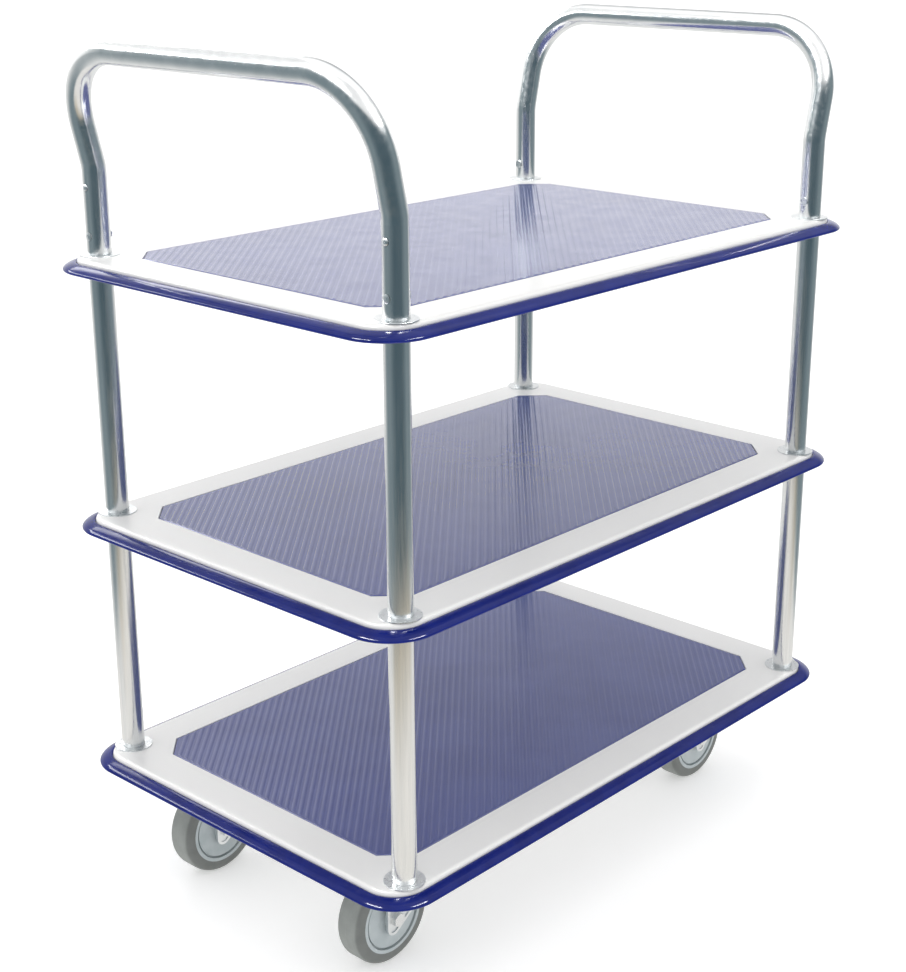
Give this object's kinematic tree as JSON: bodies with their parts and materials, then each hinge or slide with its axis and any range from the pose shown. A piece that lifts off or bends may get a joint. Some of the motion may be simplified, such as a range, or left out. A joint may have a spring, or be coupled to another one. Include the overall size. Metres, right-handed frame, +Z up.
{
  "type": "platform trolley",
  "caption": "Three-deck platform trolley: pressed white decks with blue mats and bumpers on corner tubes, a plug-in hoop handle at each end, swivel and fixed casters.",
  "frame": {"origin": "on the floor, under the middle of the decks (bottom centre of the bounding box)", "axes": "+Z up; +X along the decks towards the fixed-caster end, the swivel casters and rear handle are at -X; +Y to the left when facing +X"},
  "size_m": [0.74, 0.48, 0.891],
  "materials": {
    "white_enamel": "semi-gloss off-white stove enamel",
    "blue_bumper": "glossy navy vinyl strip",
    "blue_mat": "semi-gloss blue-grey vinyl with small raised studs",
    "chrome_tube": "bright plated tube",
    "zinc_sheet": "zinc-plated pressed sheet",
    "zinc_fitting": "bright zinc plate",
    "zinc_fastener": "bright zinc-plated fasteners",
    "zinc_pressing": "bright zinc-plated pressings",
    "button_steel": "bright steel",
    "spring_steel": "blued spring strip",
    "ball_steel": "ground steel balls",
    "grey_plastic": "satin light-grey moulded plastic",
    "grey_rubber": "matt mid-grey non-marking rubber"
  },
  "bodies": {
    "frame": {"axle_front_left": "zinc_fastener", "axle_front_right": "zinc_fastener", "bumper_bottom": "blue_bumper", "bumper_middle": "blue_bumper", "bumper_top": "blue_bumper", "caster_bolts": "zinc_fastener", "caster_bracket_front_left": "zinc_pressing", "caster_bracket_front_right": "zinc_pressing", "caster_nuts": "zinc_fastener", "caster_plate_rear_left": "zinc_pressing", "caster_plate_rear_right": "zinc_pressing", "cross_bolts": "zinc_fastener", "cross_nuts": "zinc_fastener", "deck_bottom": "white_enamel", "deck_middle": "white_enamel", "deck_stiffeners": "zinc_sheet", "deck_top": "white_enamel", "flange_rings": "zinc_fitting", "foot_plugs": "zinc_fitting", "handle_front": "chrome_tube", "handle_rear": "chrome_tube", "handle_socket_front_left": "chrome_tube", "handle_socket_front_right": "chrome_tube", "handle_socket_rear_left": "chrome_tube", "handle_socket_rear_right": "chrome_tube", "kingpins": "zinc_fastener", "lower_post_front_left": "chrome_tube", "lower_post_front_right": "chrome_tube", "lower_post_rear_left": "chrome_tube", "lower_post_rear_right": "chrome_tube", "mat_bottom": "blue_mat", "mat_middle": "blue_mat", "mat_top": "blue_mat", "post_collars": "zinc_fitting", "snap_spring_front_left": "spring_steel", "snap_spring_front_right": "spring_steel", "snap_spring_rear_left": "spring_steel", "snap_spring_rear_right": "spring_steel", "swivel_balls": "ball_steel", "upper_post_front_left": "chrome_tube", "upper_post_front_right": "chrome_tube", "upper_post_rear_left": "chrome_tube", "upper_post_rear_right": "chrome_tube"},
    "swivel_rear_right": {"swivel_fork_rear_right": "zinc_pressing", "axle_rear_right": "zinc_fastener"},
    "swivel_rear_left": {"swivel_fork_rear_left": "zinc_pressing", "axle_rear_left": "zinc_fastener"},
    "wheel_rear_right": {"wheel_core_rear_right": "grey_plastic", "tyre_rear_right": "grey_rubber"},
    "button_rear_right": {"snap_button_rear_right": "button_steel"},
    "wheel_rear_left": {"wheel_core_rear_left": "grey_plastic", "tyre_rear_left": "grey_rubber"},
    "button_rear_left": {"snap_button_rear_left": "button_steel"},
    "wheel_front_right": {"wheel_core_front_right": "grey_plastic", "tyre_front_right": "grey_rubber"},
    "button_front_right": {"snap_button_front_right": "button_steel"},
    "wheel_front_left": {"wheel_core_front_left": "grey_plastic", "tyre_front_left": "grey_rubber"},
    "button_front_left": {"snap_button_front_left": "button_steel"}
  },
  "joints": [
    {"name": "swivel_turn_rear_right", "type": "hinge", "parent": "frame", "child": "swivel_rear_right", "pos_m": [-0.242, -0.13, 0.11], "axis": [0, 0, 1], "continuous": true},
    {"name": "swivel_turn_rear_left", "type": "hinge", "parent": "frame", "child": "swivel_rear_left", "pos_m": [-0.242, 0.13, 0.11], "axis": [0, 0, 1], "continuous": true},
    {"name": "wheel_spin_rear_right", "type": "hinge", "parent": "swivel_rear_right", "child": "wheel_rear_right", "pos_m": [-0.28, -0.13, 0.0508], "axis": [0, 1, 0], "continuous": true},
    {"name": "wheel_spin_rear_left", "type": "hinge", "parent": "swivel_rear_left", "child": "wheel_rear_left", "pos_m": [-0.28, 0.13, 0.0508], "axis": [0, 1, 0], "continuous": true},
    {"name": "wheel_spin_front_right", "type": "hinge", "parent": "frame", "child": "wheel_front_right", "pos_m": [0.242, -0.13, 0.0508], "axis": [0, 1, 0], "continuous": true},
    {"name": "wheel_spin_front_left", "type": "hinge", "parent": "frame", "child": "wheel_front_left", "pos_m": [0.242, 0.13, 0.0508], "axis": [0, 1, 0], "continuous": true},
    {"name": "button_press_rear_right", "type": "slide", "parent": "frame", "child": "button_rear_right", "axis": [1, 0, 0], "range_m": [0, 0.005], "stiffness_N_per_m": 900, "deforming": ["snap_spring_rear_right"]},
    {"name": "button_press_rear_left", "type": "slide", "parent": "frame", "child": "button_rear_left", "axis": [1, 0, 0], "range_m": [0, 0.005], "stiffness_N_per_m": 900, "deforming": ["snap_spring_rear_left"]},
    {"name": "button_press_front_right", "type": "slide", "parent": "frame", "child": "button_front_right", "axis": [-1, 0, 0], "range_m": [0, 0.005], "stiffness_N_per_m": 900, "deforming": ["snap_spring_front_right"]},
    {"name": "button_press_front_left", "type": "slide", "parent": "frame", "child": "button_front_left", "axis": [-1, 0, 0], "range_m": [0, 0.005], "stiffness_N_per_m": 900, "deforming": ["snap_spring_front_left"]}
  ]
}
